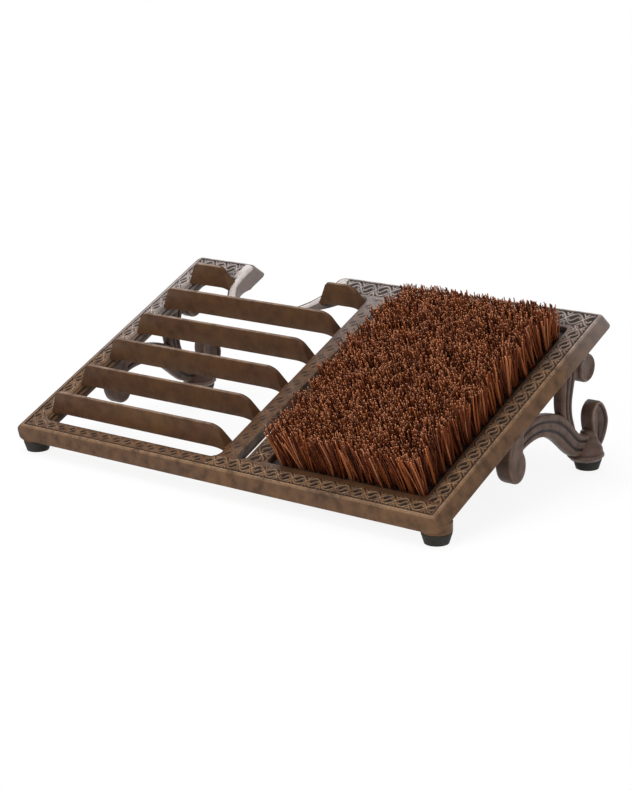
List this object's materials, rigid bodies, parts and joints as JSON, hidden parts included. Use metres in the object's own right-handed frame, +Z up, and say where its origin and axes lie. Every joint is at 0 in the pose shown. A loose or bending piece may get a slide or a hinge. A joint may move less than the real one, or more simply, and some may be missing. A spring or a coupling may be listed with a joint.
{
  "type": "boot scraper",
  "caption": "Free-standing sloping cast iron boot scraper with upright scraper blades, a heel notch and a stiff fibre brush, on scrolled legs with rubber feet.",
  "frame": {"origin": "on the ground, under the middle of the object's overall box", "axes": "+X runs along the long front edge from the scraper side to the brush side, +Y runs from the low front edge to the high rear edge, +Z is up"},
  "size_m": [0.4032, 0.2308, 0.1323],
  "materials": {
    "iron": "antique brown painted cast iron, satin, rubbed lighter on raised edges",
    "rubber": "matt black moulded rubber",
    "steel": "zinc plated steel",
    "block": "matt black moulded block",
    "fibre": "stiff red-brown natural plant fibre, cut square at the tips"
  },
  "bodies": {
    "root": {"front_rail": "iron", "left_rail": "iron", "scraper_rail": "iron", "brush_rail": "iron", "right_rail": "iron", "rear_rail_left": "iron", "rear_rail_right": "iron", "heel_notch_rim": "iron", "scraper_blade_1": "iron", "scraper_blade_2": "iron", "scraper_blade_3": "iron", "scraper_blade_4": "iron", "scraper_blade_5": "iron", "stub_blade_left": "iron", "stub_blade_right": "iron", "left_leg": "iron", "right_leg": "iron", "rubber_foot_front_left": "rubber", "rubber_foot_front_right": "rubber", "rubber_foot_rear_left": "rubber", "rubber_foot_rear_right": "rubber", "brush_screws": "steel", "foot_screws": "steel", "leg_dowels": "steel", "brush_block": "block", "bristle_row_01": "fibre", "bristle_row_02": "fibre", "bristle_row_03": "fibre", "bristle_row_04": "fibre", "bristle_row_05": "fibre", "bristle_row_06": "fibre", "bristle_row_07": "fibre", "bristle_row_08": "fibre", "bristle_row_09": "fibre", "bristle_row_10": "fibre", "bristle_row_11": "fibre", "bristle_row_12": "fibre", "bristle_row_13": "fibre", "bristle_row_14": "fibre", "bristle_row_15": "fibre", "bristle_row_16": "fibre", "bristle_row_17": "fibre"}
  },
  "joints": []
}
